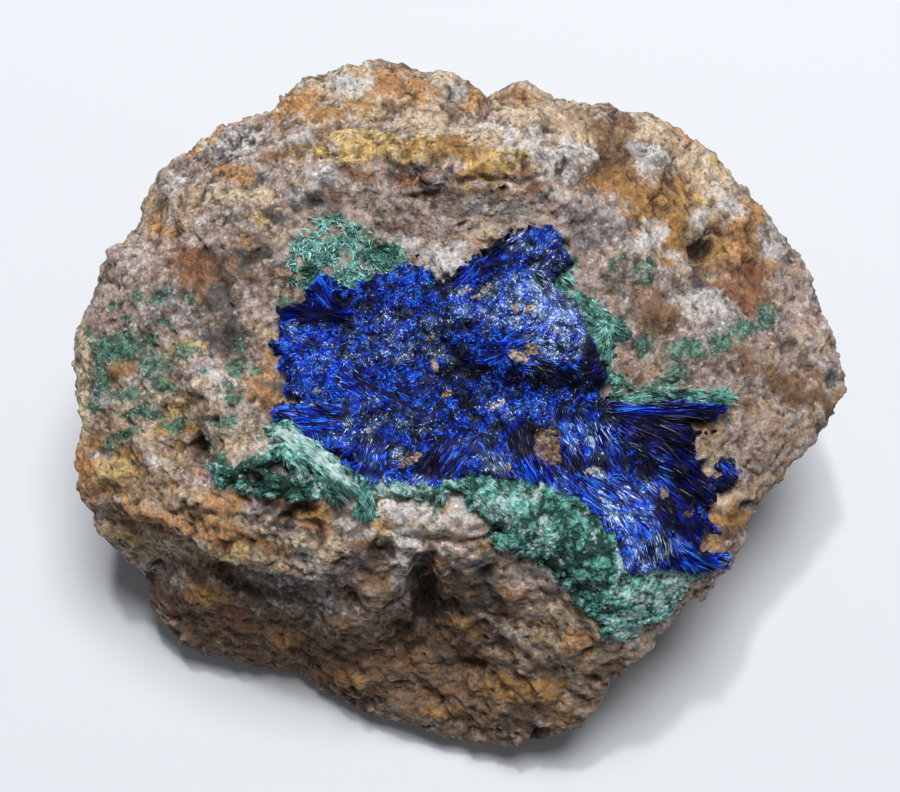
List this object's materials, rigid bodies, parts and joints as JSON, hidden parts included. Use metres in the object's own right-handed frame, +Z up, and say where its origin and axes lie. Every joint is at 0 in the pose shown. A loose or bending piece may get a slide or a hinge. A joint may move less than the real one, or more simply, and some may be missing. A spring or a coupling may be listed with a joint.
{
  "type": "linarite specimen",
  "caption": "Hand-sized block of broken quartz and ironstone with a crust of deep blue linarite needles and green fibrous crusts on its upper face.",
  "frame": {"origin": "on the surface that the block stands on, under the middle of its bounding box", "axes": "+Z up, +X to the right along the block's longest extent, +Y to the back; the crystal face looks up and leans 14 degrees to the front"},
  "size_m": [0.0622, 0.0523, 0.032],
  "materials": {
    "matrix_stone": "rough broken quartz and iron-stained stone, matt with glittering grains",
    "linarite": "glassy blue needle crystals",
    "green_fibre": "silky to earthy green fibrous crust"
  },
  "bodies": {
    "root": {"matrix_rock": "matrix_stone", "linarite_mat": "linarite", "linarite_north_sheaf": "linarite", "linarite_west_sheaf": "linarite", "linarite_west_tuft": "linarite", "linarite_east_fan": "linarite", "linarite_south_fan": "linarite", "linarite_stray_sheaf": "linarite", "green_north_tuft": "green_fibre", "green_west_ledge": "green_fibre", "green_south_mat": "green_fibre", "green_southeast_mat": "green_fibre", "green_east_fringe": "green_fibre", "green_east_bar": "green_fibre"}
  },
  "joints": []
}
